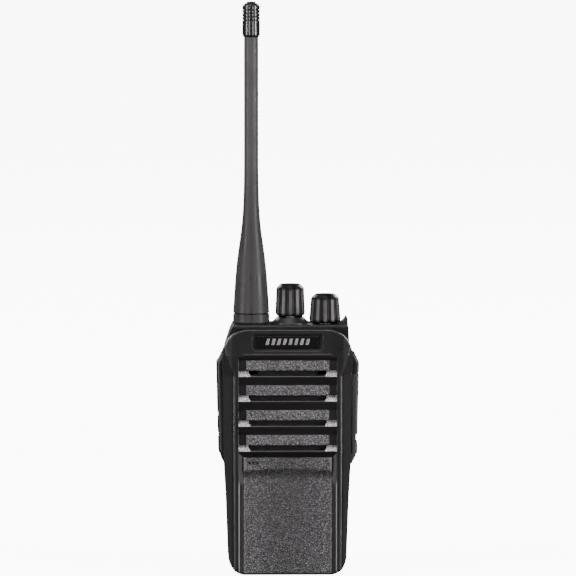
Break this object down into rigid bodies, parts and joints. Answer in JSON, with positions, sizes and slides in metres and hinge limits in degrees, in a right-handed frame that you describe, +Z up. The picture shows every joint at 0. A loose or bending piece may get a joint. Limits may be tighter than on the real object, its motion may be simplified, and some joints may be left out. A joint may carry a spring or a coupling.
{
  "type": "portable radio",
  "caption": "Handheld two-way radio with flexible antenna, two knobs, louvred loudspeaker front, grained lower panel, side keys, jack cover, tilting battery and belt clip.",
  "frame": {"origin": "on the flat bottom that the radio stands on, in the middle of its width", "axes": "+Z up along the antenna, the front faces -Y, +X to the right of someone facing the front"},
  "size_m": [0.0626, 0.0458, 0.2502],
  "materials": {
    "black_plastic": "fine satin moulding",
    "grained_plastic": "leather grain",
    "nameplate_black": "smooth",
    "lens_clear": "clear",
    "cast_alloy": "cast and painted",
    "steel": "plain",
    "control_metal": "satin",
    "knob_rubber": "satin",
    "nickel": "plated",
    "brass": "plain",
    "soft_rubber": "soft",
    "antenna_rubber": "satin",
    "cap_rubber": "satin",
    "key_rubber": "matte",
    "circuit_board": "green board",
    "cover_plastic": "satin",
    "screw_black": "black zinc",
    "speaker_cloth": "woven",
    "speaker_metal": "plain",
    "gold_contact": "gold plated",
    "battery_plastic": "fine texture",
    "cell_wrap": "shrink film",
    "latch_plastic": "ribbed",
    "clip_plastic": "satin"
  },
  "bodies": {
    "radio": {"front_housing": "black_plastic", "front_panel": "grained_plastic", "nameplate": "nameplate_black", "top_cover": "black_plastic", "led_lens": "lens_clear", "chassis": "cast_alloy", "housing_screws": "steel", "channel_switch": "control_metal", "volume_control": "control_metal", "control_nuts": "nickel", "antenna_bush": "brass", "key_frame": "black_plastic", "key_board": "circuit_board", "cover_bracket": "black_plastic", "cover_pin": "steel", "cover_insert": "brass", "jack_block": "black_plastic", "speaker_jack": "nickel", "microphone_jack": "nickel", "speaker_mesh": "speaker_cloth", "speaker": "speaker_metal", "speaker_clamp": "steel", "microphone": "control_metal", "mic_boot": "soft_rubber", "main_board": "circuit_board", "rf_shields": "nickel", "contact_block": "black_plastic", "contact_springs": "gold_contact", "latch_springs": "steel"},
    "channel_knob_body": {"channel_knob": "knob_rubber", "channel_shaft": "steel"},
    "volume_knob_body": {"volume_knob": "knob_rubber", "volume_shaft": "steel"},
    "ptt_body": {"ptt_button": "key_rubber"},
    "upper_key_body": {"upper_side_key": "key_rubber"},
    "lower_key_body": {"lower_side_key": "key_rubber"},
    "cover_body": {"accessory_cover": "cover_plastic"},
    "cover_screw_body": {"cover_screw": "screw_black"},
    "latch_body": {"battery_latch": "latch_plastic"},
    "battery_body": {"battery_case": "battery_plastic", "battery_lid": "battery_plastic", "battery_contacts": "gold_contact", "battery_board": "circuit_board", "battery_cells": "cell_wrap", "charging_contacts": "gold_contact", "clip_base": "battery_plastic", "clip_screws": "steel", "clip_pin": "steel", "clip_spring": "steel"},
    "clip_body": {"belt_clip": "clip_plastic"},
    "seal_body": {"antenna_seal": "soft_rubber"},
    "antenna_body": {"antenna_stud": "brass", "antenna_ring": "antenna_rubber", "antenna_core": "steel", "antenna_sheath": "antenna_rubber", "antenna_cap": "cap_rubber"}
  },
  "joints": [
    {"name": "channel_knob_turn", "type": "hinge", "parent": "radio", "child": "channel_knob_body", "pos_m": [0.0015, 0.001, 0.112], "axis": [0, 0, -1], "range_deg": [0, 337.5]},
    {"name": "volume_knob_turn", "type": "hinge", "parent": "radio", "child": "volume_knob_body", "pos_m": [0.01675, 0.001, 0.109], "axis": [0, 0, -1], "range_deg": [0, 280]},
    {"name": "ptt_press", "type": "slide", "parent": "radio", "child": "ptt_body", "axis": [1, 0, 0], "range_m": [0, 0.0008], "stiffness_N_per_m": 2500, "springref_m": -0.0002},
    {"name": "upper_key_press", "type": "slide", "parent": "radio", "child": "upper_key_body", "axis": [1, 0, 0], "range_m": [0, 0.0005], "stiffness_N_per_m": 3000, "springref_m": -0.0001},
    {"name": "lower_key_press", "type": "slide", "parent": "radio", "child": "lower_key_body", "axis": [1, 0, 0], "range_m": [0, 0.0005], "stiffness_N_per_m": 3000, "springref_m": -0.0001},
    {"name": "accessory_cover_swing", "type": "hinge", "parent": "radio", "child": "cover_body", "pos_m": [0.0295, -0.00465, 0.0896], "axis": [0, -1, 0], "range_deg": [0, 95]},
    {"name": "cover_screw_turn", "type": "hinge", "parent": "cover_body", "child": "cover_screw_body", "pos_m": [0.0294, -0.00465, 0.055], "axis": [1, 0, 0], "continuous": true},
    {"name": "battery_latch_slide", "type": "slide", "parent": "radio", "child": "latch_body", "axis": [0, 0, 1], "range_m": [0, 0.0022], "stiffness_N_per_m": 900, "springref_m": -0.0008},
    {"name": "battery_tilt", "type": "hinge", "parent": "radio", "child": "battery_body", "pos_m": [0, 0.0043, 0.0012], "axis": [-1, 0, 0], "range_deg": [0, 25]},
    {"name": "belt_clip_open", "type": "hinge", "parent": "battery_body", "child": "clip_body", "pos_m": [0, 0.022, 0.077], "axis": [1, 0, 0], "range_deg": [0, 12], "stiffness_Nm_per_rad": 0.5, "springref_deg": -8.59},
    {"name": "antenna_lift", "type": "slide", "parent": "radio", "child": "seal_body", "axis": [0, 0, 1], "range_m": [0, 0.0072]},
    {"name": "antenna_turn", "type": "hinge", "parent": "seal_body", "child": "antenna_body", "pos_m": [-0.0156, 0.001, 0.109], "axis": [0, 0, 1], "range_deg": [0, 3673.7]}
  ],
  "couplings": [
    {"joint": "antenna_turn", "follows": "antenna_lift", "rad_per_m": 8905.2}
  ]
}
